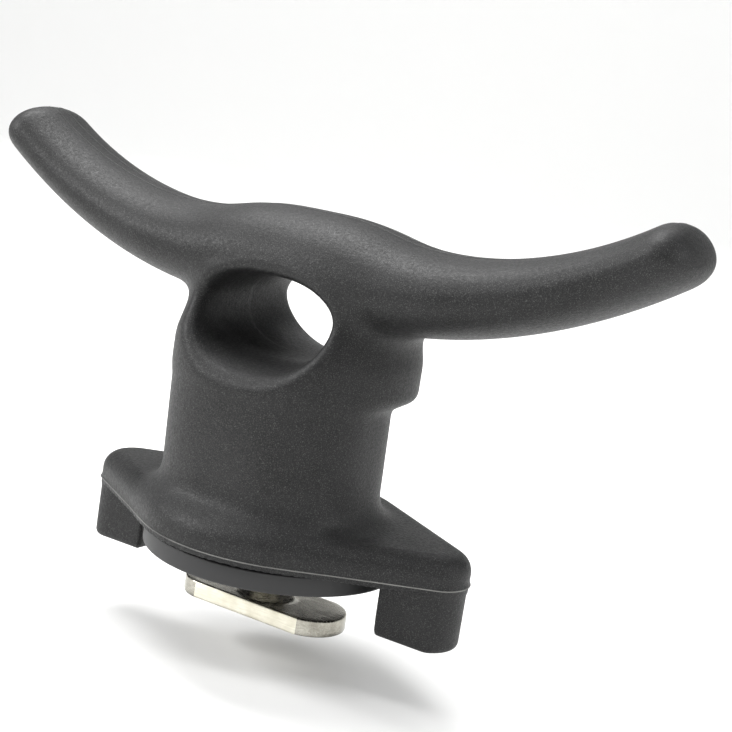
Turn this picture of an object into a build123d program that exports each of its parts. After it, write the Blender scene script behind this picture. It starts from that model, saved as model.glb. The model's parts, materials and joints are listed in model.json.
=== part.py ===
from build123d import *
import math
import os

# Cleat horn for a slotted accessory track: a moulded body with two horns, a line eye, two feet
# that straddle the track and a round rubber pad.  A spring-loaded, keyed T-bolt hangs under it.
# Millimetres.  +Z up, horns along X, eye along Y.  Origin: centre of the pad's underside.

# ---- overall sizes of the body
horn_reach = 53.0            # centre of the post to each horn tip
horn_root_z = 39.4           # horn centreline height at the post
horn_straight = 12.0         # half-length of the straight middle of the horn centreline
horn_bend_radius = 66.5      # radius of the upward sweep of each horn
horn_root_half_height = 5.6
horn_tip_half_height = 4.0
horn_root_half_width = 11.0
horn_tip_half_width = 7.6
horn_cap_length = 6.5        # length over which the tip rounds off
horn_cap_least = 0.14        # share of the full section left at the very tip
horn_steps = 8               # sections along a horn before its rounded tip
horn_cap_shares = (0.4, 0.7, 0.9, 1.0)  # where sections stand within the rounded tip
hump_rise = 2.2              # how far the crown over the eye stands above the horns
hump_half_length = 17.0

flange_radius = 18.75        # round middle of the lozenge flange
flange_tip_x = 24.7          # centre of each rounded end
flange_tip_radius = 5.25
flange_height = 5.2
flange_edge_round = 2.6

track_width = 38.1           # 1.5 in wide track that the feet straddle
track_clearance = 0.75       # each side, between the track and a foot
foot_half_depth = 4.1
foot_drop = 4.8              # foot depth below the pad's underside
foot_edge_bevel = 0.8
foot_root = 1.0              # how far a foot is rooted up into the flange

post_half_x = 15.0
front_ledge = 3.55           # the flange stands out this far in front of the post
post_offset_y = -3.0         # the post stands forward, flush with the front of the eye boss
post_base_round = 2.5
boss_half_x = 16.4
boss_half_y = 15.4
boss_bottom_z = 24.2
boss_top_z = 37.5
boss_bottom_round = 2.0
boss_top_round = 5.0

eye_z = 33.6
eye_half_width = 9.4
eye_half_height = 5.4
eye_flare = 1.3              # how far the rim opens out at each face
eye_flare_depth = 4.0        # depth below the boss face where the flare starts

# ---- pad, plate and fixings
pad_inset = 1.0              # the pad stands in from the flange's round middle
pad_thickness = 3.0
pad_groove_depth = 0.8       # shadow groove between pad and flange
pad_groove_height = 0.6
pad_edge_round = 0.4
plate_radius = 13.3
plate_thickness = 1.5
plate_gap = 0.1              # radial gap round the plate
fixing_circle = 10.5
fixing_count = 3
screw_start = -90.0          # angle of the first screw on the fixing circle, degrees
plug_start = 90.0
screw_radius = 1.25
screw_head_radius = 2.3
screw_length = 4.5
screw_socket_radius = 0.75
screw_socket_depth = 0.7
insert_radius = 1.8
insert_length = 3.2
plug_radius = 1.9            # pad plugs pushed up through the plate
plug_tip = 0.3               # how far each plug stands above the plate
fit_gap = 0.02               # radial gap of parts pressed or threaded together
hole_gap = 0.15              # radial gap of a loose clearance hole

# ---- T-bolt, bush and spring
shank_radius = 3.0
shank_flat_half = 2.5        # half the distance across the two key flats
shank_running_gap = 0.06
head_half_length = 12.6
head_half_width = 5.1
head_end_radius = 5.25
head_thickness = 2.3
head_top_z = -5.7
collar_radius = 4.3
collar_height = 0.8
rivet_radius = 2.5
rivet_dome_radius = 3.4
rivet_dome_height = 0.6
travel = 5.5                 # how far the T-bolt draws out against its spring
bush_barrel_radius = 4.5
bush_flange_radius = 6.7
bush_flange_height = 1.2
bush_nose = 2.2              # length of the barrel below the plate
bush_top = 3.6               # length of the barrel above its flange
chamber_radius = 7.0
chamber_roof_z = 24.0
stop_gap = 0.15              # T-bolt end to chamber roof when drawn fully up
shank_end_bevel = 0.4
shank_stub = 0.5             # shank end standing above the nut
flats_over = 0.5             # flats run this far past the bush at full travel
washer_radius = 6.5
seat_thickness = 0.6
cap_thickness = 1.0
spring_wire_radius = 0.55
spring_coils = 4.5
spring_end_gap = 0.02        # room between each spring end and its washer
spring_inset = 0.45          # outside of the spring to the washer's edge
nut_half_flats = 5.0
nut_hex_height = 3.6
nut_collar_height = 1.4
nut_collar_radius = 4.6
ring_height = 1.1
ring_outer_radius = 4.0

# ---- sizes and levels worked out from those above
pad_radius = flange_radius - pad_inset
post_half_y = flange_radius - front_ledge + post_offset_y
level_slack = 0.01           # edges this near a level count as lying on it
flange_bottom = pad_thickness
flange_top = flange_bottom + flange_height
plate_bottom = flange_bottom
plate_top = plate_bottom + plate_thickness
bush_flange_top = plate_top + bush_flange_height
seat_top = bush_flange_top + seat_thickness
shank_top = chamber_roof_z - stop_gap
nut_top = shank_top - shank_stub
nut_bottom = nut_top - nut_hex_height - nut_collar_height
cap_bottom = nut_bottom - cap_thickness
flats_top = bush_flange_top + bush_top + travel + flats_over
foot_inner_x = track_width / 2 + track_clearance


def cylinder(radius, low, high, x=0.0, y=0.0):
    return Pos(x, y, low) * extrude(Circle(radius), high - low)


def fixing_spots(start_angle):
    """Places on the fixing circle, evenly spaced from the given angle."""
    spots = []
    for number in range(fixing_count):
        angle = math.radians(start_angle + number * 360 / fixing_count)
        spots.append((fixing_circle * math.cos(angle), fixing_circle * math.sin(angle)))
    return spots


def horn_point(run):
    """Centreline point and slope angle at a distance run along the horn from the middle."""
    if run <= horn_straight:
        return run, horn_root_z, 0.0
    angle = (run - horn_straight) / horn_bend_radius
    x = horn_straight + horn_bend_radius * math.sin(angle)
    z = horn_root_z + horn_bend_radius * (1 - math.cos(angle))
    return x, z, angle


def horn_length():
    """Length of the centreline out to the horn's reach."""
    return horn_straight + horn_bend_radius * math.asin((horn_reach - horn_straight) / horn_bend_radius)


def horn_section(run, total):
    """Elliptical section across the horn, narrowing to the rounded tip."""
    x, z, angle = horn_point(run)
    share = run / total
    half_height = horn_root_half_height + (horn_tip_half_height - horn_root_half_height) * share
    half_width = horn_root_half_width + (horn_tip_half_width - horn_root_half_width) * share
    into_cap = max(0.0, (run - (total - horn_cap_length)) / horn_cap_length)
    shrink = math.sqrt(max(1 - into_cap ** 2, horn_cap_least ** 2))
    along = (math.cos(angle), 0, math.sin(angle))
    section = Plane(origin=(x, 0, z), x_dir=(0, 1, 0), z_dir=along)
    return section * Ellipse(half_width * shrink, half_height * shrink)


def horn():
    """One horn, from the middle of the post to its tip at +X."""
    total = horn_length()
    cap_start = total - horn_cap_length
    runs = [cap_start * step / horn_steps for step in range(horn_steps + 1)]
    runs += [cap_start + horn_cap_length * share for share in horn_cap_shares]
    return loft([horn_section(run, total) for run in runs])


def crown():
    """Low hump over the eye, where the two horns meet."""
    rise = horn_root_half_height + hump_rise
    profile = Plane.XZ * Pos(0, horn_root_z) * Ellipse(hump_half_length, rise)
    hump = extrude(profile, horn_root_half_width, both=True)
    plan = Pos(0, 0, horn_root_z) * Ellipse(hump_half_length, horn_root_half_width)
    return hump & extrude(plan, 2 * rise, both=True)


def flange_outline():
    """Lozenge: a round middle joined to two rounded ends by tangent straights."""
    middle = Circle(flange_radius)
    outline = middle
    turn = math.acos((flange_radius - flange_tip_radius) / flange_tip_x)
    for side in (1, -1):
        outline += Pos(side * flange_tip_x, 0) * Circle(flange_tip_radius)
        corners = []
        for up in (1, -1):
            normal = (math.cos(turn), up * math.sin(turn))
            near = (side * flange_radius * normal[0], flange_radius * normal[1])
            far = (side * (flange_tip_x + flange_tip_radius * normal[0]), flange_tip_radius * normal[1])
            corners.append((near, far))
        points = [corners[0][0], corners[0][1], corners[1][1], corners[1][0]]
        outline += make_face(Polyline(*points, close=True))
    return outline


def flange():
    slab = Pos(0, 0, flange_bottom) * extrude(flange_outline(), flange_height)
    rim = slab.edges().filter_by(lambda edge: edge.center().Z > flange_top - level_slack)
    return fillet(rim, flange_edge_round)


def foot():
    """One foot, the end of the lozenge carried down past the side of the track."""
    block_length = flange_tip_x + flange_tip_radius - foot_inner_x
    middle = foot_inner_x + block_length / 2
    plan = Pos(middle, 0) * Rectangle(block_length, 2 * foot_half_depth)
    plan = plan & flange_outline()
    block = Pos(0, 0, -foot_drop) * extrude(plan, flange_bottom + foot_drop + foot_root)
    bottom = block.edges().filter_by(lambda edge: edge.center().Z < level_slack - foot_drop)
    return chamfer(bottom, foot_edge_bevel)


def eye():
    """Line eye through the boss, opening out towards both faces."""
    reach = 2 * boss_half_y
    hole = Plane.XZ * Pos(0, eye_z) * Ellipse(eye_half_width, eye_half_height)
    cut = extrude(hole, reach, both=True)
    deep_y = boss_half_y - eye_flare_depth
    for side in (1, -1):
        deep = Plane(origin=(0, side * deep_y, eye_z), x_dir=(1, 0, 0), z_dir=(0, side, 0))
        outer = deep.offset(2 * eye_flare_depth)
        rim = outer * Ellipse(eye_half_width + 2 * eye_flare, eye_half_height + 2 * eye_flare)
        cut += loft([deep * Ellipse(eye_half_width, eye_half_height), rim], ruled=True)
    return cut


def cleat_body():
    right_horn = horn()
    right_foot = foot()
    post_height = boss_top_z - flange_bottom
    post = Pos(0, post_offset_y, flange_bottom) * extrude(Ellipse(post_half_x, post_half_y), post_height)
    boss = Pos(0, 0, boss_bottom_z) * extrude(Ellipse(boss_half_x, boss_half_y), boss_top_z - boss_bottom_z)
    boss = fillet(boss.edges().group_by(Axis.Z)[0], boss_bottom_round)
    boss = fillet(boss.edges().group_by(Axis.Z)[-1], boss_top_round)
    body = flange() + post
    seam = body.edges().filter_by(lambda edge: abs(edge.center().Z - flange_top) < level_slack)
    body = fillet(seam.sort_by(SortBy.LENGTH)[-1], post_base_round)
    body = body + boss + right_horn + mirror(right_horn, about=Plane.YZ) + crown()
    body = body + right_foot + mirror(right_foot, about=Plane.YZ)
    body = body - eye()
    body = body - cylinder(plate_radius + plate_gap, flange_bottom, plate_top)
    body = body - cylinder(chamber_radius, flange_bottom, chamber_roof_z)
    for x, y in fixing_spots(screw_start):
        body = body - cylinder(insert_radius + fit_gap, plate_top, plate_top + insert_length, x, y)
    for x, y in fixing_spots(plug_start):
        body = body - cylinder(plug_radius + hole_gap, plate_top, plate_top + plug_tip + hole_gap, x, y)
    return body


def double_d(radius, flat_half):
    """Round outline with two flats, facing +Y and -Y."""
    return Circle(radius) & Rectangle(2 * radius, 2 * flat_half)


def retainer_plate():
    plate = cylinder(plate_radius, plate_bottom, plate_top)
    plate = plate - cylinder(bush_barrel_radius + hole_gap, plate_bottom, plate_top)
    for x, y in fixing_spots(screw_start):
        plate = plate - cylinder(screw_radius + hole_gap, plate_bottom, plate_top, x, y)
        cone = Pos(x, y, plate_bottom + screw_head_height() / 2) * countersink(hole_gap)
        plate = plate - cone
    for x, y in fixing_spots(plug_start):
        plate = plate - cylinder(plug_radius + fit_gap, plate_bottom, plate_top, x, y)
    return plate


def screw_head_height():
    return screw_head_radius - screw_radius


def countersink(gap):
    """Ninety-degree countersunk head, wide end down."""
    return Cone(screw_head_radius + gap, screw_radius + gap, screw_head_height())


def plate_screw(x, y):
    low = plate_bottom
    screw = Pos(x, y, low + screw_head_height() / 2) * countersink(0)
    screw = screw + cylinder(screw_radius, low + screw_head_height(), low + screw_length, x, y)
    socket = Pos(x, y, low) * extrude(RegularPolygon(screw_socket_radius, 6), screw_socket_depth)
    return screw - socket


def threaded_insert(x, y):
    low = plate_top
    insert = cylinder(insert_radius, low, low + insert_length, x, y)
    return insert - cylinder(screw_radius + fit_gap, low, low + insert_length, x, y)


def base_pad():
    lower = cylinder(pad_radius, 0, pad_thickness - pad_groove_height)
    lower = fillet(lower.edges().group_by(Axis.Z)[0], pad_edge_round)
    pad = lower + cylinder(pad_radius - pad_groove_depth, pad_thickness - pad_groove_height, pad_thickness)
    for x, y in fixing_spots(plug_start):
        pad = pad + cylinder(plug_radius, pad_thickness, plate_top + plug_tip, x, y)
    return pad - cylinder(bush_barrel_radius + hole_gap, 0, plate_top)


def guide_bush():
    bush = cylinder(bush_barrel_radius, plate_bottom - bush_nose, bush_flange_top + bush_top)
    bush = bush + cylinder(bush_flange_radius, plate_top, bush_flange_top)
    bore = double_d(shank_radius + shank_running_gap, shank_flat_half + shank_running_gap)
    return bush - Pos(0, 0, plate_bottom - bush_nose - 1) * extrude(bore, chamber_roof_z)


def tbolt_head():
    end_x = head_half_length - head_end_radius
    ends = Pos(end_x, 0) * Circle(head_end_radius) + Pos(-end_x, 0) * Circle(head_end_radius)
    outline = ends + Rectangle(2 * end_x, 2 * head_half_width)
    outline = outline & Rectangle(2 * head_half_length, 2 * head_half_width)
    head = Pos(0, 0, head_top_z - head_thickness) * extrude(outline, head_thickness)
    return head - cylinder(rivet_radius + fit_gap, head_top_z - head_thickness, head_top_z)


def tbolt_shank():
    low = head_top_z
    keyed = Pos(0, 0, low) * extrude(double_d(shank_radius, shank_flat_half), flats_top - low)
    shank = cylinder(shank_radius, flats_top, shank_top) + keyed
    shank = chamfer(shank.edges().group_by(Axis.Z)[-1], shank_end_bevel)
    shank = shank + Pos(0, 0, low + collar_height / 2) * Cone(collar_radius, shank_radius, collar_height)
    shank = shank + cylinder(rivet_radius, low - head_thickness, low)
    dome_low = low - head_thickness - rivet_dome_height
    dome = Pos(0, 0, dome_low + rivet_dome_height / 2) * Cone(
        rivet_dome_radius - rivet_dome_height, rivet_dome_radius, rivet_dome_height)
    return shank + dome


def washer(low, thickness, bore_radius):
    return cylinder(washer_radius, low, low + thickness) - cylinder(bore_radius, low, low + thickness)


def compression_spring():
    """Round wire coil between the seat and the cap, with a little room at both ends."""
    low = seat_top + spring_wire_radius + spring_end_gap
    high = cap_bottom - spring_wire_radius - spring_end_gap
    coil_radius = washer_radius - spring_wire_radius - spring_inset
    path = Pos(0, 0, low) * Helix((high - low) / spring_coils, high - low, coil_radius)
    section = Plane(origin=path @ 0, z_dir=path % 0) * Circle(spring_wire_radius)
    return sweep(section, path=path, is_frenet=True)


def lock_nut():
    hexagon = RegularPolygon(nut_half_flats, 6, major_radius=False)
    nut = Pos(0, 0, nut_bottom) * extrude(hexagon, nut_hex_height)
    nut = nut + cylinder(nut_collar_radius, nut_bottom + nut_hex_height, nut_top)
    nut = nut - cylinder(shank_radius + fit_gap, nut_bottom, nut_top)
    return nut - cylinder(ring_outer_radius + fit_gap, nut_top - ring_height, nut_top)


def lock_ring():
    ring = cylinder(ring_outer_radius, nut_top - ring_height, nut_top)
    return ring - cylinder(shank_radius + fit_gap, nut_top - ring_height, nut_top)


def build_nodes():
    nodes = {
        "cleat_body": cleat_body(),
        "base_pad": base_pad(),
        "retainer_plate": retainer_plate(),
        "guide_bush": guide_bush(),
        "tbolt_head": tbolt_head(),
        "tbolt_shank": tbolt_shank(),
        "spring_seat": washer(bush_flange_top, seat_thickness, bush_barrel_radius + hole_gap),
        "compression_spring": compression_spring(),
        "spring_cap": washer(cap_bottom, cap_thickness, shank_radius + fit_gap),
        "lock_nut": lock_nut(),
        "lock_ring": lock_ring(),
    }
    for number, (x, y) in enumerate(fixing_spots(screw_start), start=1):
        nodes[f"plate_screw_{number}"] = plate_screw(x, y)
        nodes[f"threaded_insert_{number}"] = threaded_insert(x, y)
    return nodes


os.makedirs("parts", exist_ok=True)
for name, shape in build_nodes().items():
    export_step(shape, f"parts/{name}.step")
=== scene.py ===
import bpy
import json
import math
import numpy as np
from mathutils import Matrix

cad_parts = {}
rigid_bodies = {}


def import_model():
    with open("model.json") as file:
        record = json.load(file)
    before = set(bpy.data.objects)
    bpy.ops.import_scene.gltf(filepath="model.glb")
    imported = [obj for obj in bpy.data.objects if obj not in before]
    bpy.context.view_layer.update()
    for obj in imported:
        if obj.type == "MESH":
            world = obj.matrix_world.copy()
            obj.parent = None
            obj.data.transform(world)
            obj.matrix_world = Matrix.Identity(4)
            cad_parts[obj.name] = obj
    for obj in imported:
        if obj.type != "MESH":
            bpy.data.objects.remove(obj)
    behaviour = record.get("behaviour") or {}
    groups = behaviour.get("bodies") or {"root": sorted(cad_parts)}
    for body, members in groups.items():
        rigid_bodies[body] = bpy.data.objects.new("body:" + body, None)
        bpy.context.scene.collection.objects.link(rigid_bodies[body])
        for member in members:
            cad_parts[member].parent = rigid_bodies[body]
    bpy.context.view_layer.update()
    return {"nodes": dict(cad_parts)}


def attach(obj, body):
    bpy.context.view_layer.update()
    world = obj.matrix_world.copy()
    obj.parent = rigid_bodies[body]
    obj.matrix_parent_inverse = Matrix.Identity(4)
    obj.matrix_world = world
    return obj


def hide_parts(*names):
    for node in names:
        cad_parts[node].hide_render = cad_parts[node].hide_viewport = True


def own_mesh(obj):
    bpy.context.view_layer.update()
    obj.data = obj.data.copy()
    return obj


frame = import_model()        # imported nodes, at rest, in metres
mm = 0.001
print("frame loaded:", len(frame["nodes"]), "nodes")


def hexColor(code):
    # sRGB hex to the linear values that shaders take
    parts = [int(code[i:i + 2], 16) / 255 for i in (1, 3, 5)]
    linear = [c / 12.92 if c <= 0.04045 else ((c + 0.055) / 1.055) ** 2.4 for c in parts]
    return (*linear, 1.0)


def addNode(tree, kind, settings=None, inputs=None, links=None):
    # one node with its settings, its socket values and what feeds it
    node = tree.nodes.new(kind)
    for key, value in (settings or {}).items():
        setattr(node, key, value)
    for key, value in (inputs or {}).items():
        node.inputs[key].default_value = value
    for key, source in (links or {}).items():
        tree.links.new(source, node.inputs[key])
    return node


def newMaterial(name, inputs):
    # empty Principled material, ready for its pattern nodes
    material = bpy.data.materials.new(name)
    material.use_nodes = True
    tree = material.node_tree
    shader = tree.nodes["Principled BSDF"]
    for key, value in inputs.items():
        shader.inputs[key].default_value = value
    place = addNode(tree, "ShaderNodeTexCoord").outputs["Object"]
    return material, tree, shader, place


def newPiece(name, points, faces, material, body, node=None):
    # mesh object in metres from points in millimetres
    mesh = bpy.data.meshes.new(name)
    mesh.from_pydata((points * mm).tolist(), [], faces.tolist() if hasattr(faces, "tolist") else faces)
    mesh.update()
    mesh.polygons.foreach_set("use_smooth", np.ones(len(mesh.polygons), dtype=bool))
    piece = bpy.data.objects.new(name, mesh)
    bpy.context.scene.collection.objects.link(piece)
    for item in (material if isinstance(material, list) else [material]):
        mesh.materials.append(item)
    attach(piece, body)
    if node:
        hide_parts(node)
    return piece


def gridFaces(rows, columns, wrapRows=False, wrapColumns=True):
    # quads of a rows by columns grid of points, numbered row by row
    r = np.arange(rows if wrapRows else rows - 1)
    c = np.arange(columns if wrapColumns else columns - 1)
    r, c = np.meshgrid(r, c, indexing="ij")
    down, right = (r + 1) % rows, (c + 1) % columns
    corners = [r * columns + c, r * columns + right, down * columns + right, down * columns + c]
    return np.stack(corners, -1).reshape(-1, 4)


# moulded body: one smooth field, negative inside; lengths are in millimetres
bodyShape = {
    "hornReach": 52.2, "hornRootZ": 39.4, "hornStraight": 12.0, "hornBend": 67.2,
    "rootHalfHeight": 5.75, "tipHalfHeight": 4.0, "rootHalfWidth": 11.0, "tipHalfWidth": 7.7,
    "capLength": 4.2, "capPower": 2.5, "hornSquareness": 2.1, "humpRise": 2.5, "humpLength": 14.0,
    "postHalfX": 14.75, "postHalfY": 12.2, "postHighZ": 37.0, "postSquareness": 2.5,
    "postLowY": -2.7, "postHighY": -3.5, "leanFrom": 8.0, "leanRun": 18.0,   # the post leans forward
    "bossHalfX": 16.3, "bossHalfY": 15.3, "bossLowZ": 24.2, "bossHighZ": 37.6,
    "bossSquareness": 2.2, "bossRound": 1.5, "shoulder": 9.0,
    "eyeZ": 33.6, "eyeHalfWidth": 9.6, "eyeHalfHeight": 5.3, "eyeSquareness": 2.35,
    "eyeStep": 0.2, "eyeShift": 0.5, "eyeFlare": 2.6, "flareFrom": 7.0, "flareLimit": 1.3,
    "flareAcross": 0.35, "flareUp": 0.2, "flareDown": 0.85,   # shares of the flare on each side
    "flangeRadius": 18.6, "tipX": 24.65, "tipRadius": 5.2, "flangeLowZ": 3.0, "flangeHighZ": 7.9,
    "flangeRound": 2.6, "partingZ": 3.8, "partingInset": 0.14,
    "footInnerX": 19.8, "footHalfY": 4.1, "footLowZ": -4.8, "footDraft": 0.025,
    "footRound": 0.85, "footInnerRound": 0.3, "footOverlap": 1.0,
    "bossFillet": 1.8, "hornFillet": 4.5, "flangeFillet": 4.2, "footFillet": 0.5, "eyeFillet": 2.0,
    "plateRadius": 13.4, "plateTopZ": 4.5, "chamberRadius": 7.0, "chamberTopZ": 24.0,
    "gridLow": (-57.0, -20.5, -5.5), "gridHigh": (57.0, 20.5, 58.5), "gridStep": 0.42,
}


def smoothMin(a, b, k):
    # union of two fields with a fillet about k wide
    h = np.clip(0.5 + 0.5 * (b - a) / k, 0, 1)
    return b * (1 - h) + a * h - k * h * (1 - h)


def roundMax(a, b, r):
    # overlap of two fields, its corner rounded to radius r
    outside = np.hypot(np.maximum(a + r, 0), np.maximum(b + r, 0))
    return np.minimum(np.maximum(a, b) + r, 0) + outside - r


def oval(u, v, halfU, halfV, squareness):
    # distance along the ray from the middle to a superellipse |u/a|^p + |v/b|^p = 1
    size = (np.abs(u / halfU) ** squareness + np.abs(v / halfV) ** squareness) ** (1 / squareness)
    atMiddle = np.where(size < 1e-3, min(np.min(halfU), np.min(halfV)), 0)
    return np.hypot(u, v) * (1 - 1 / np.maximum(size, 1e-6)) - atMiddle


def hornField(x, y, z, s):
    # superellipse section carried along a straight middle and two upward arcs
    reachX = np.abs(x)
    acrossX = np.maximum(reachX - s["hornStraight"], 0)
    centreZ = s["hornRootZ"] + s["hornBend"]
    angle = np.arctan2(acrossX, np.maximum(centreZ - z, 1))
    onArc = reachX > s["hornStraight"]
    run = np.where(onArc, s["hornStraight"] + s["hornBend"] * angle, reachX)
    up = np.where(onArc, s["hornBend"] - np.hypot(acrossX, centreZ - z), z - s["hornRootZ"])
    bentReach = s["hornReach"] - s["hornStraight"]
    total = s["hornStraight"] + s["hornBend"] * math.asin(bentReach / s["hornBend"])
    blend = 0.5 + 0.5 * np.cos(np.pi * np.clip(run / total, 0, 1))
    halfHeight = s["tipHalfHeight"] + (s["rootHalfHeight"] - s["tipHalfHeight"]) * blend
    halfWidth = s["tipHalfWidth"] + (s["rootHalfWidth"] - s["tipHalfWidth"]) * blend
    hump = s["humpRise"] / (1 + (x / s["humpLength"]) ** 4)
    halfHeight = halfHeight + np.where(up > 0, hump, 0)
    p = s["hornSquareness"]
    across = (np.abs(up / halfHeight) ** p + np.abs(y / halfWidth) ** p) ** (1 / p)
    intoCap = np.maximum(0, (run - (total - s["capLength"])) / s["capLength"])
    size = (across ** s["capPower"] + intoCap ** s["capPower"]) ** (1 / s["capPower"])
    return (size - 1) * halfHeight


def lozenge(x, y, s):
    # exact distance in plan to a big circle joined to a small one at each end
    along, side = np.abs(x), np.abs(y)
    slope = (s["flangeRadius"] - s["tipRadius"]) / s["tipX"]
    flat = math.sqrt(1 - slope ** 2)
    k = -slope * side + flat * along
    middle = np.hypot(side, along) - s["flangeRadius"]
    tip = np.hypot(side, along - s["tipX"]) - s["tipRadius"]
    straight = flat * side + slope * along - s["flangeRadius"]
    return np.where(k < 0, middle, np.where(k > flat * s["tipX"], tip, straight))


def bodyField(x, y, z, s=bodyShape):
    # post, boss, horns and flange joined by fillets and the feet added, less the line eye,
    # the plate's recess and the spring's chamber
    lean = np.clip((z - s["leanFrom"]) / s["leanRun"], 0, 1)
    postY = s["postLowY"] + (s["postHighY"] - s["postLowY"]) * lean
    post = oval(x, y - postY, s["postHalfX"], s["postHalfY"], s["postSquareness"])
    post = roundMax(np.maximum(post, s["flangeLowZ"] - z), z - s["postHighZ"], s["shoulder"])
    boss = oval(x, y, s["bossHalfX"], s["bossHalfY"], s["bossSquareness"])
    boss = roundMax(roundMax(boss, s["bossLowZ"] - z, s["bossRound"]), z - s["bossHighZ"], s["shoulder"])
    outline = lozenge(x, y, s) + np.where(z < s["partingZ"], s["partingInset"], 0)
    flange = roundMax(outline, z - s["flangeHighZ"], s["flangeRound"])
    footY = np.abs(y) - (s["footHalfY"] + s["footDraft"] * (z - s["footLowZ"]))
    footX = s["footInnerX"] - np.abs(x)
    foot = roundMax(roundMax(outline, footY, s["footRound"]), footX, s["footInnerRound"])
    foot = roundMax(foot, s["footLowZ"] - z, s["footRound"])
    foot = np.maximum(foot, z - s["flangeLowZ"] - s["footOverlap"])
    shape = smoothMin(post, boss, s["bossFillet"])
    shape = smoothMin(shape, hornField(x, y, z, s), s["hornFillet"])
    shape = smoothMin(shape, flange, s["flangeFillet"])
    shape = np.maximum(shape, s["flangeLowZ"] - z)
    shape = smoothMin(shape, foot, s["footFillet"])
    faceDepth = (np.abs(y) - s["flareFrom"]) / (s["bossHalfY"] - s["flareFrom"])
    faceDepth = np.clip(faceDepth, 0, s["flareLimit"])
    spread = np.where(y > 0, s["eyeStep"], 0) + s["eyeFlare"] * faceDepth ** 2
    shiftX = s["eyeShift"] * np.clip(-y / s["bossHalfY"], 0, 1)
    openUp = np.where(z > s["eyeZ"], s["flareUp"], s["flareDown"]) * spread
    eye = oval(x - shiftX, z - s["eyeZ"], s["eyeHalfWidth"] + s["flareAcross"] * spread,
               s["eyeHalfHeight"] + openUp, s["eyeSquareness"])
    shape = -smoothMin(-shape, eye, s["eyeFillet"])
    fromAxis = np.hypot(x, y)
    recess = np.maximum(fromAxis - s["plateRadius"], z - s["plateTopZ"])
    chamber = np.maximum(fromAxis - s["chamberRadius"], z - s["chamberTopZ"])
    return np.maximum(shape, -np.minimum(recess, chamber))


def surfaceNet(field, low, high, step):
    # one point in each grid cell that the surface crosses, at the mean of its edge crossings,
    # and one quad round each crossed grid edge, facing out of the solid
    axes = [np.arange(a, b + step, step) for a, b in zip(low, high)]
    x, y, z = np.meshgrid(*axes, indexing="ij")
    value = field(x, y, z)
    place = np.stack([x, y, z], -1)
    shape = np.array(value.shape) - 1
    total = np.zeros((*shape, 3))
    count = np.zeros(shape, dtype=int)
    crossings = []
    for axis in range(3):
        first, second = [slice(None)] * 3, [slice(None)] * 3
        first[axis], second[axis] = slice(0, -1), slice(1, None)
        a, b = value[tuple(first)], value[tuple(second)]
        spots = np.argwhere((a < 0) != (b < 0))
        va, vb = a[tuple(spots.T)], b[tuple(spots.T)]
        other = spots.copy()
        other[:, axis] += 1
        share = (va / (va - vb))[:, None]
        point = place[tuple(spots.T)] * (1 - share) + place[tuple(other.T)] * share
        u, v = (axis + 1) % 3, (axis + 2) % 3
        corners = []
        for stepU, stepV in ((-1, -1), (0, -1), (0, 0), (-1, 0)):
            cell = spots.copy()
            cell[:, u] += stepU
            cell[:, v] += stepV
            np.add.at(total, tuple(cell.T), point)
            np.add.at(count, tuple(cell.T), 1)
            corners.append(cell)
        crossings.append((corners, va < 0))
    active = count > 0
    number = np.full(shape, -1)
    number[active] = np.arange(active.sum())
    points = total[active] / count[active][:, None]
    faces = []
    for corners, facesUp in crossings:
        quad = np.stack([number[tuple(cell.T)] for cell in corners], -1)
        faces.append(np.where(facesUp[:, None], quad, quad[:, ::-1]))
    return points, np.concatenate(faces)


def settle(field, points, rounds=4, reach=0.3):
    # Newton steps along the field's slope, so that every point lies on the surface
    for _ in range(rounds):
        value = field(*points.T)
        slope = np.stack([
            field(*(points + np.eye(3)[i] * 0.01).T) - field(*(points - np.eye(3)[i] * 0.01).T)
            for i in range(3)], -1) / 0.02
        move = value[:, None] * slope / np.maximum((slope ** 2).sum(1), 0.05)[:, None]
        size = np.linalg.norm(move, axis=1, keepdims=True)
        points = points - move * np.minimum(1, reach / np.maximum(size, 1e-9))
    return points


# glass-filled nylon, injection moulded: black, matt, a fine pebble with pale specks of fibre
nylonLook = {
    "black": "#0a0a0b", "wornAndHighlight": "#181819", "speck": "#6c6c6a", "roughness": 0.52, "specular": 0.3,
    "pebble": 0.42, "grit": 0.12, "cloud": 9.0, "pebbleDepth": 0.07,   # millimetres
    "speckFrom": 0.54, "speckTo": 0.72, "speckMost": 0.5, "toneFrom": 0.35, "toneTo": 0.7,
    "smoother": 0.08, "rougher": 0.1, "gritShare": 0.35,
}


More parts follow.
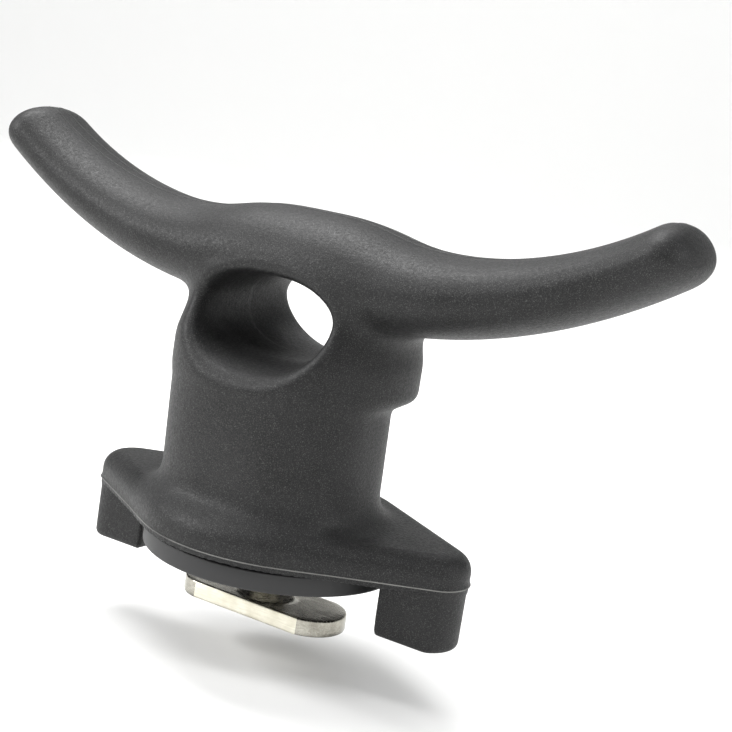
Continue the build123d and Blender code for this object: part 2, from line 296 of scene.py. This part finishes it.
def nylonMaterial(name, look, depthScale=1.0):
    material, tree, shader, place = newMaterial(name, {"IOR": 1.53, "Specular IOR Level": look["specular"]})
    coarse = addNode(tree, "ShaderNodeTexNoise", None,
                     {"Scale": 1 / (look["pebble"] * mm), "Detail": 3.0, "Roughness": 0.6}, {"Vector": place})
    grit = addNode(tree, "ShaderNodeTexNoise", None,
                   {"Scale": 1 / (look["grit"] * mm), "Detail": 2.0, "Roughness": 0.7}, {"Vector": place})
    cloud = addNode(tree, "ShaderNodeTexNoise", None,
                    {"Scale": 1 / (look["cloud"] * mm), "Detail": 4.0}, {"Vector": place})
    speckMask = addNode(tree, "ShaderNodeMapRange", None,
                        {"From Min": look["speckFrom"], "From Max": look["speckTo"],
                         "To Max": look["speckMost"]},
                        {"Value": grit.outputs["Fac"]})
    tone = addNode(tree, "ShaderNodeMapRange", None,
                   {"From Min": look["toneFrom"], "From Max": look["toneTo"]},
                   {"Value": cloud.outputs["Fac"]})
    base = addNode(tree, "ShaderNodeMix", {"data_type": "RGBA"}, None, {"Factor": tone.outputs["Result"]})
    base.inputs["A"].default_value = hexColor(look["black"])
    base.inputs["B"].default_value = hexColor(look["wornAndHighlight"])
    speckled = addNode(tree, "ShaderNodeMix", {"data_type": "RGBA"}, None,
                       {"Factor": speckMask.outputs["Result"]})
    tree.links.new(base.outputs["Result"], speckled.inputs["A"])
    speckled.inputs["B"].default_value = hexColor(look["speck"])
    tree.links.new(speckled.outputs["Result"], shader.inputs["Base Color"])
    gloss = addNode(tree, "ShaderNodeMapRange", None,
                    {"From Min": 0.3, "From Max": 0.7,
                     "To Min": look["roughness"] - look["smoother"],
                     "To Max": look["roughness"] + look["rougher"]},
                    {"Value": coarse.outputs["Fac"]})
    tree.links.new(gloss.outputs["Result"], shader.inputs["Roughness"])
    height = addNode(tree, "ShaderNodeMath", {"operation": "MULTIPLY_ADD"}, {1: look["gritShare"]},
                     {0: grit.outputs["Fac"], 2: coarse.outputs["Fac"]})
    bump = addNode(tree, "ShaderNodeBump", None,
                   {"Strength": 0.8, "Distance": look["pebbleDepth"] * mm * depthScale},
                   {"Height": height.outputs["Value"]})
    tree.links.new(bump.outputs["Normal"], shader.inputs["Normal"])
    return material


nylon = nylonMaterial("glassFilledNylon", nylonLook)
# the same nylon, paler: a painted highlight that makes a pale line round the flange
flashHighlightLook = {**nylonLook, "black": "#4a4a49", "wornAndHighlight": "#7a7a77", "speck": "#9a9a96"}
flashHighlightNylon = nylonMaterial("nylonFlashPaintedHighlight", flashHighlightLook, 0.5)
# greyer along the horns: a fainter painted highlight, a grey line that hardly shows
seamHighlightLook = {**nylonLook, "black": "#303030", "wornAndHighlight": "#444443"}
seamHighlightNylon = nylonMaterial("nylonSeamPaintedHighlight", seamHighlightLook, 0.5)

netPoints, netFaces = surfaceNet(
    bodyField, bodyShape["gridLow"], bodyShape["gridHigh"], bodyShape["gridStep"])
netPoints = settle(bodyField, netPoints)
newPiece("mouldedBody", netPoints, netFaces, nylon, "body", "cleat_body")
print("moulded body:", len(netFaces), "quads")


# parting flash: thin ridges left where the mould's halves meet, in millimetres
flashShape = {
    "radius": 0.085, "lift": 0.05, "flangePoints": 400, "sides": 6,
    "hornRadius": 0.08, "hornGap": 1.1, "hornEndX": 49.5, "hornPoints": 300, "overHorns": 62.0,
}


def tubeAlong(path, radius, sides, closed):
    # circle carried along a path; its frame comes from the path's tangent and the up axis
    if closed:
        tangent = np.roll(path, -1, 0) - np.roll(path, 1, 0)
    else:
        tangent = np.gradient(path, axis=0)
    tangent /= np.linalg.norm(tangent, axis=1, keepdims=True)
    side = np.cross(tangent, (0.0, 0.03, 1.0))
    side /= np.linalg.norm(side, axis=1, keepdims=True)
    up = np.cross(side, tangent)
    angle = np.linspace(0, 2 * np.pi, sides, endpoint=False)
    size = np.full(len(path), radius)
    if not closed:
        endPower = 40   # so high that only the last few rings shrink
        size = radius * np.sqrt(np.clip(1 - np.linspace(-1, 1, len(path)) ** endPower, 1e-3, 1))
    ring = np.cos(angle)[None, :, None] * side[:, None] + np.sin(angle)[None, :, None] * up[:, None]
    points = path[:, None] + ring * size[:, None, None]
    faces = gridFaces(len(path), sides, wrapRows=closed)[:, ::-1].tolist()
    if not closed:
        faces.append(list(range(sides)))
        faces.append([(len(path) - 1) * sides + i for i in range(sides)][::-1])
    return points.reshape(-1, 3), faces


def lozengePath(s, flash):
    # walk round the flange: points on a circle pulled in to the lozenge's edge
    startRadius, rounds, share = 25.0, 60, 0.8
    angle = np.linspace(0, 2 * np.pi, flash["flangePoints"], endpoint=False)
    reach = np.full(len(angle), startRadius)
    for _ in range(rounds):
        reach = reach - lozenge(reach * np.cos(angle), reach * np.sin(angle), s) * share
    height = np.full(len(angle), s["partingZ"] + flash["lift"])
    return settle(bodyField, np.stack([reach * np.cos(angle), reach * np.sin(angle), height], -1))


def topLine(s, flash, offsetY):
    # highest surface point over each place along the horns, found by halving
    count, halvings = flash["hornPoints"], 40
    x = np.linspace(-flash["hornEndX"], flash["hornEndX"], count)
    high = np.full(count, flash["overHorns"])
    beyond = np.maximum(np.abs(x) - s["hornStraight"], 0)
    low = s["hornRootZ"] + s["hornBend"] - np.sqrt(s["hornBend"] ** 2 - beyond ** 2)
    for _ in range(halvings):
        middle = (low + high) / 2
        inside = bodyField(x, np.full(count, offsetY), middle) < 0
        low, high = np.where(inside, middle, low), np.where(inside, high, middle)
    return np.stack([x, np.full(count, offsetY), low], -1)


# the flash ridges take the paler nylons above, which paint a highlight along them
edgePath = lozengePath(bodyShape, flashShape)
pathPoints, pathFaces = tubeAlong(edgePath, flashShape["radius"], flashShape["sides"], True)
newPiece("flangeFlash", pathPoints, pathFaces, flashHighlightNylon, "body", None)
for label, offset in (("Front", -flashShape["hornGap"]), ("Rear", flashShape["hornGap"])):
    hornPath = topLine(bodyShape, flashShape, offset)
    pathPoints, pathFaces = tubeAlong(hornPath, flashShape["hornRadius"], flashShape["sides"], False)
    newPiece("hornFlash" + label, pathPoints, pathFaces, seamHighlightNylon, "body", None)
print("parting flash done")


# rubber pad, in millimetres
padShape = {
    "radius": 17.75, "edge": 0.45, "groove": 0.5, "grooveZ": 2.75, "topZ": 3.0, "boreRadius": 4.65,
    "lipRound": 0.25, "lipGap": 0.02, "sides": 180,
    "gripFrom": 7.0, "gripTo": 16.5, "gripPitch": 1.6,   # shallow rings underneath
    "gripMouth": 0.35, "gripFloor": 0.18, "gripDepth": 0.22,
}
rubberLook = {
    "black": "#161617", "grey": "#242425", "roughness": 0.5, "smoother": 0.08, "rougher": 0.1,
    "mottle": 3.0, "grain": 0.25, "depth": 0.012,   # millimetres
}


def lathe(profile, sides):
    # outline (radius, height) turned round Z; the outline is closed
    angle = np.linspace(0, 2 * np.pi, sides, endpoint=False)
    points = np.stack([
        profile[:, None, 0] * np.cos(angle), profile[:, None, 0] * np.sin(angle),
        np.repeat(profile[:, 1:2], sides, 1)], -1)
    return points.reshape(-1, 3), gridFaces(len(profile), sides, wrapRows=True)


def arcPoints(centre, radius, start, end, count):
    # points on a circle between two angles in degrees
    angle = np.radians(np.linspace(start, end, count))
    return np.stack([centre[0] + radius * np.cos(angle), centre[1] + radius * np.sin(angle)], -1)


def padProfile(p):
    # closed outline: bore, grip rings, rounded lower edge, lip, and the neck above the groove
    r, e, lip, bore = p["radius"], p["edge"], p["lipRound"], p["boreRadius"]
    rings = [np.array([[bore, lip], [bore + lip, 0]])]
    for ringRadius in np.arange(p["gripFrom"], p["gripTo"], p["gripPitch"]):
        rings.append(np.array([
            [ringRadius - p["gripMouth"], 0], [ringRadius - p["gripFloor"], p["gripDepth"]],
            [ringRadius + p["gripFloor"], p["gripDepth"]], [ringRadius + p["gripMouth"], 0]]))
    rings.append(arcPoints((r - e, e), e, -90, 0, 8))
    rings.append(arcPoints((r - lip, p["grooveZ"] - lip), lip, 0, 90, 6))
    neck = r - p["groove"]
    rings.append(np.array([[neck, p["grooveZ"] + p["lipGap"]], [neck, p["topZ"]], [bore, p["topZ"]]]))
    return np.concatenate(rings)


def rubberMaterial(look):
    # EPDM rubber, moulded: smooth and satin, with a faint mottling
    material, tree, shader, place = newMaterial("mouldedRubber", {"IOR": 1.52})
    cloud = addNode(tree, "ShaderNodeTexNoise", None,
                    {"Scale": 1 / (look["mottle"] * mm), "Detail": 4.0}, {"Vector": place})
    fine = addNode(tree, "ShaderNodeTexNoise", None,
                   {"Scale": 1 / (look["grain"] * mm), "Detail": 2.0}, {"Vector": place})
    base = addNode(tree, "ShaderNodeMix", {"data_type": "RGBA"}, None, {"Factor": cloud.outputs["Fac"]})
    base.inputs["A"].default_value = hexColor(look["black"])
    base.inputs["B"].default_value = hexColor(look["grey"])
    tree.links.new(base.outputs["Result"], shader.inputs["Base Color"])
    gloss = addNode(tree, "ShaderNodeMapRange", None,
                    {"To Min": look["roughness"] - look["smoother"],
                     "To Max": look["roughness"] + look["rougher"]},
                    {"Value": cloud.outputs["Fac"]})
    tree.links.new(gloss.outputs["Result"], shader.inputs["Roughness"])
    bump = addNode(tree, "ShaderNodeBump", None,
                   {"Strength": 0.4, "Distance": look["depth"] * mm}, {"Height": fine.outputs["Fac"]})
    tree.links.new(bump.outputs["Normal"], shader.inputs["Normal"])
    return material


rubber = rubberMaterial(rubberLook)
padPoints, padFaces = lathe(padProfile(padShape), padShape["sides"])
newPiece("rubberPad", padPoints, padFaces, rubber, "body", "base_pad")
print("pad done")


# steel T-head, in millimetres
headShape = {
    "halfLength": 12.6, "halfWidth": 5.1, "endRadius": 5.25, "topZ": -5.7, "thickness": 2.3,
    "boreRadius": 2.55, "rollOver": 0.28, "tornDepth": 0.07, "lowInset": 0.08, "shearEndX": 8.4,
    "edgeRows": (6, 12),   # rows of faces from the rolled rim to the lower face
    "around": 240,
}


def headOutline(p, count):
    # rounded ends cut by two straight sides, points evenly spaced in angle from the middle
    angle = np.linspace(0, 2 * np.pi, count, endpoint=False) + 0.003
    endX = p["halfLength"] - p["endRadius"]
    c, n = np.cos(angle), np.sin(angle)
    reachFlat = p["halfWidth"] / np.maximum(np.abs(n), 1e-6)
    along = endX * np.abs(c)
    inside = p["endRadius"] ** 2 - endX ** 2 + along ** 2
    reachEnd = np.where(inside > 0, along + np.sqrt(np.maximum(inside, 0)), 99.0)
    cornerX = endX + math.sqrt(p["endRadius"] ** 2 - p["halfWidth"] ** 2)
    reach = np.where(reachFlat * np.abs(c) < cornerX, reachFlat, reachEnd)
    return np.stack([reach * c, reach * n], -1)


def headSurface(p):
    # the outline shrunk to the bore on both faces, with a rolled top rim, a straight shear
    # and a ragged lower rim
    edge = headOutline(p, p["around"])
    length = np.linalg.norm(edge, axis=1, keepdims=True)
    toward = edge / length
    rng = np.random.default_rng(7)
    draws = np.tile(rng.normal(0, 1, p["around"]), 3)
    ragged = np.convolve(draws, np.ones(3) / 3, "same")[p["around"]:2 * p["around"]]
    low = p["topZ"] - p["thickness"]
    roll = p["rollOver"]
    rows = [(toward * p["boreRadius"], p["topZ"])]
    for share in (0.3, 0.6, 0.85):
        rows.append((toward * (p["boreRadius"] + (length - p["boreRadius"]) * share), p["topZ"]))
    for turn in np.radians((0, 22, 45, 68, 90)):
        rows.append((edge - toward * roll * (1 - math.sin(turn)), p["topZ"] - roll * (1 - math.cos(turn))))
    for share in (0.35, 0.55, 0.75, 0.9):
        torn = toward * (p["tornDepth"] * ragged[:, None]) * share
        rows.append((edge + torn, p["topZ"] - p["thickness"] * share))
    rows.append((edge - toward * p["lowInset"], low))
    for share in (0.85, 0.6, 0.3, 0.0):
        rows.append((toward * (p["boreRadius"] + (length - p["boreRadius"]) * share), low))
    points = np.concatenate([np.column_stack([xy, np.full(len(xy), z)]) for xy, z in rows])
    return points, gridFaces(len(rows), p["around"], wrapRows=True)[:, ::-1]


def steelMaterial(name, color, dark, roughness, streak, bumpDepth, streakAxis):
    # stainless steel; the streaks are stretched noise along the way it was rolled or sheared
    material, tree, shader, place = newMaterial(name, {"Metallic": 1.0, "Roughness": roughness})
    stretch = [1 / (streak * mm)] * 3
    for axis in streakAxis:
        stretch[axis] /= 14
    mapping = addNode(tree, "ShaderNodeMapping", None, {"Scale": stretch}, {"Vector": place})
    grain = addNode(tree, "ShaderNodeTexNoise", None, {"Scale": 1.0, "Detail": 5.0, "Roughness": 0.65},
                    {"Vector": mapping.outputs["Vector"]})
    cloud = addNode(tree, "ShaderNodeTexNoise", None,
                    {"Scale": 1 / (2.2 * mm), "Detail": 3.0}, {"Vector": place})
    mixed = addNode(tree, "ShaderNodeMath", {"operation": "MULTIPLY"}, None,
                    {0: grain.outputs["Fac"], 1: cloud.outputs["Fac"]})
    tone = addNode(tree, "ShaderNodeMapRange", None,
                   {"From Min": 0.12, "From Max": 0.4}, {"Value": mixed.outputs["Value"]})
    base = addNode(tree, "ShaderNodeMix", {"data_type": "RGBA"}, None, {"Factor": tone.outputs["Result"]})
    base.inputs["A"].default_value = hexColor(dark)
    base.inputs["B"].default_value = hexColor(color)
    tree.links.new(base.outputs["Result"], shader.inputs["Base Color"])
    gloss = addNode(tree, "ShaderNodeMapRange", None,
                    {"From Min": 0.25, "From Max": 0.75,
                     "To Min": max(roughness - 0.12, 0.05), "To Max": roughness + 0.15},
                    {"Value": grain.outputs["Fac"]})
    tree.links.new(gloss.outputs["Result"], shader.inputs["Roughness"])
    bump = addNode(tree, "ShaderNodeBump", None,
                   {"Strength": 0.6, "Distance": bumpDepth * mm}, {"Height": grain.outputs["Fac"]})
    tree.links.new(bump.outputs["Normal"], shader.inputs["Normal"])
    return material


# stainless plate, cold rolled: bright, with faint streaks one way
rolledSteel = steelMaterial("stainlessRolledFace", "#b8b5ab", "#8d8a80", 0.22, 0.25, 0.004, (0,))
# the same plate's blanked edge: torn, so pale, dull and rough
shearedSteel = steelMaterial("stainlessShearedEdge", "#fbf8ea", "#dcd7c4", 0.5, 0.22, 0.04, (0, 1))
# stainless bar, turned: satin, with fine rings
turnedSteel = steelMaterial("stainlessTurned", "#c2bfb6", "#9a978e", 0.25, 0.12, 0.004, (0, 1))
# stainless wire, cold drawn: greyer, with a fine grain
springSteel = steelMaterial("drawnSpringWire", "#a9a8a3", "#7d7c78", 0.3, 0.15, 0.003, (0, 1))
headPoints, headFaces = headSurface(headShape)
head = newPiece("steelHead", headPoints, headFaces, [rolledSteel, shearedSteel],
                "tbolt", "tbolt_head")
rowOf = np.arange(len(headFaces)) // headShape["around"]
columnX = headPoints[np.arange(len(headFaces)) % headShape["around"], 0] / headShape["boreRadius"]
onSide = np.abs(columnX) < math.cos(math.atan2(headShape["halfWidth"], headShape["shearEndX"]))
firstRow, lastRow = headShape["edgeRows"]
sheared = (rowOf >= firstRow) & (rowOf <= lastRow) & onSide
head.data.polygons.foreach_set("material_index", sheared.astype(np.int32))
head.data.update()
print("steel head done")


# compression spring, in millimetres
springShape = {
    "wire": 0.55, "coil": 5.5, "lowZ": 6.87, "highZ": 16.78, "turns": 6.0, "closedTurns": 0.95,
    "seatZ": 6.3, "freeLength": 11.05, "travel": 5.5, "stepsPerTurn": 64, "sides": 16,
}


def springPath(v):
    # helix whose first and last turns lie close together, so that its ends sit flat
    turn = np.linspace(0, v["turns"], int(v["turns"] * v["stepsPerTurn"]) + 1)
    rise, close = v["highZ"] - v["lowZ"], 2.04 * v["wire"] * v["closedTurns"]
    knots = [0, v["closedTurns"], v["turns"] - v["closedTurns"], v["turns"]]
    height = np.interp(turn, knots, [0, close, rise - close, rise])
    margin = 12   # points averaged on each side, to round the change of pitch
    height = np.pad(height, margin, mode="reflect", reflect_type="odd")
    height = np.convolve(height, np.ones(2 * margin + 1) / (2 * margin + 1), "valid")
    angle = 2 * np.pi * turn
    return np.stack([v["coil"] * np.cos(angle), v["coil"] * np.sin(angle), v["lowZ"] + height], -1)


springPoints, springFaces = tubeAlong(
    springPath(springShape), springShape["wire"], springShape["sides"], False)
spring = newPiece("drawSpring", springPoints, springFaces, springSteel,
                  "body", "compression_spring")
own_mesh(spring)
print("spring done")


# the remaining nodes keep their shape and take a finish

def plainMaterial(name, light, dark, roughness, metallic=0.0, ior=1.5, grain=0.3, depth=0.006):
    # fine-grained finish with a slow change of tone
    inputs = {"Metallic": metallic}
    if metallic == 0:
        inputs["IOR"] = ior
    material, tree, shader, place = newMaterial(name, inputs)
    cloud = addNode(tree, "ShaderNodeTexNoise", None,
                    {"Scale": 1 / (2.5 * mm), "Detail": 4.0}, {"Vector": place})
    fine = addNode(tree, "ShaderNodeTexNoise", None,
                   {"Scale": 1 / (grain * mm), "Detail": 3.0}, {"Vector": place})
    base = addNode(tree, "ShaderNodeMix", {"data_type": "RGBA"}, None, {"Factor": cloud.outputs["Fac"]})
    base.inputs["A"].default_value = hexColor(dark)
    base.inputs["B"].default_value = hexColor(light)
    tree.links.new(base.outputs["Result"], shader.inputs["Base Color"])
    gloss = addNode(tree, "ShaderNodeMapRange", None,
                    {"To Min": roughness - 0.08, "To Max": roughness + 0.1}, {"Value": fine.outputs["Fac"]})
    tree.links.new(gloss.outputs["Result"], shader.inputs["Roughness"])
    bump = addNode(tree, "ShaderNodeBump", None,
                   {"Strength": 0.5, "Distance": depth * mm}, {"Height": fine.outputs["Fac"]})
    tree.links.new(bump.outputs["Normal"], shader.inputs["Normal"])
    return material


# acetal, machined from white bar: milky and waxy
acetal = plainMaterial("machinedAcetal", "#e4e1d6", "#d2cfc4", 0.35, ior=1.48)
# nylon, dyed and moulded: plain blue, half matt
nylonRing = plainMaterial("dyedNylonRing", "#3a5fa8", "#2f4f90", 0.4, ior=1.53)
# free-cutting brass, turned: yellow and fairly bright
brass = plainMaterial("turnedBrass", "#d3b06a", "#b08c48", 0.28, metallic=1.0)
finishes = {
    "retainer_plate": rolledSteel, "spring_seat": rolledSteel, "spring_cap": rolledSteel,
    "guide_bush": acetal, "tbolt_shank": turnedSteel,
    "lock_nut": turnedSteel, "lock_ring": nylonRing, "plate_screw": turnedSteel, "threaded_insert": brass,
}
for name, node in frame["nodes"].items():
    for start, finish in finishes.items():
        if name.startswith(start):
            node.data.materials.clear()
            node.data.materials.append(finish)
print("finishes assigned")


# floor, light and camera, in millimetres
stageLook = {
    "floor": "#fbfbfa", "floorZ": -14.7, "hub": 100.0, "flat": 1100.0,
    "sweepRadius": 600.0, "sweepSteps": 30, "sides": 96,
    "sky": "#f6f7f8", "skyStrength": 0.26,
}


def makeFloor(v):
    # studio sweep: flat disc and quarter circle, turned round Z
    turn = np.radians(np.linspace(0, 90, v["sweepSteps"]))
    away = np.concatenate([[v["hub"]], v["flat"] + v["sweepRadius"] * np.sin(turn)])
    up = np.concatenate([[0.0], v["sweepRadius"] * (1 - np.cos(turn))]) + v["floorZ"]
    angle = np.linspace(0, 2 * np.pi, v["sides"], endpoint=False)
    points = np.stack([
        away[:, None] * np.cos(angle), away[:, None] * np.sin(angle),
        np.repeat(up[:, None], v["sides"], 1)], -1)
    mesh = bpy.data.meshes.new("studioFloor")
    faces = [list(range(v["sides"]))] + gridFaces(len(away), v["sides"])[:, ::-1].tolist()
    mesh.from_pydata((points.reshape(-1, 3) * mm).tolist(), [], faces)
    mesh.polygons.foreach_set("use_smooth", np.ones(len(mesh.polygons), dtype=bool))
    floor = bpy.data.objects.new("studioFloor", mesh)
    bpy.context.scene.collection.objects.link(floor)
    # painted board: near white and matt, so it only shows soft shadows
    material = newMaterial("paleFloor", {"Base Color": hexColor(v["floor"]), "Roughness": 0.8})[0]
    mesh.materials.append(material)


def addLight(name, place, size, power, target=(0, 0, 25)):
    # area light at a place, its back turned away from the target and its sides level
    data = bpy.data.lights.new(name, "AREA")
    data.shape = "RECTANGLE"
    data.size, data.size_y = size[0] * mm, size[1] * mm
    data.energy = power
    light = bpy.data.objects.new(name, data)
    bpy.context.scene.collection.objects.link(light)
    away = np.array(place, float) - np.array(target, float)
    away /= np.linalg.norm(away)
    right = np.cross((0.0, 0.001, 1.0), away)
    right /= np.linalg.norm(right)
    up = np.cross(away, right)
    turn = Matrix([(*row,) for row in np.column_stack([right, up, away])]).to_4x4()
    light.matrix_world = Matrix.Translation(np.array(place) * mm) @ turn


cameraView = {
    "azimuth": 30.0, "elevation": 9.94, "lean": 9.04,
    "distance": 200.2, "aim": (10.25, 0.0, 28.79), "lens": 74.86,
}


def makeCamera(v):
    # a place on a sphere round the aim, looking in, then leant about its line of sight
    az, el, lean = (math.radians(v[k]) for k in ("azimuth", "elevation", "lean"))
    back = np.array([math.sin(az) * math.cos(el), -math.cos(az) * math.cos(el), math.sin(el)])
    right = np.cross(-back, (0, 0, 1))
    right /= np.linalg.norm(right)
    up = np.cross(right, -back)
    x = math.cos(lean) * right + math.sin(lean) * up
    y = -math.sin(lean) * right + math.cos(lean) * up
    place = np.array(v["aim"]) + v["distance"] * back
    data = bpy.data.cameras.new("studioCamera")
    data.lens, data.sensor_width = v["lens"], 36.0
    data.clip_start, data.clip_end = 0.005, 20.0
    camera = bpy.data.objects.new("studioCamera", data)
    bpy.context.scene.collection.objects.link(camera)
    turn = Matrix([(*row,) for row in np.column_stack([x, y, back])]).to_4x4()
    camera.matrix_world = Matrix.Translation(place * mm) @ turn
    bpy.context.scene.camera = camera


makeFloor(stageLook)
world = bpy.data.worlds.new("softStudio")
world.use_nodes = True
world.node_tree.nodes["Background"].inputs["Color"].default_value = hexColor(stageLook["sky"])
world.node_tree.nodes["Background"].inputs["Strength"].default_value = stageLook["skyStrength"]
bpy.context.scene.world = world
bpy.context.scene.view_settings.view_transform = "Standard"
addLight("topSoftbox", (-200, 60, 520), (300, 300), 2.6)
addLight("leftSoftbox", (-430, -330, 330), (160, 240), 3.0)
addLight("rightSoftbox", (460, 60, 260), (140, 260), 0.8)
addLight("backdropLight", (-300, 520, 900), (900, 500), 9.0, (-450, 900, 300))
addLight("frontWallLight", (300, -520, 1000), (900, 500), 9.0, (450, -1100, 300))
makeCamera(cameraView)
print("stage done")
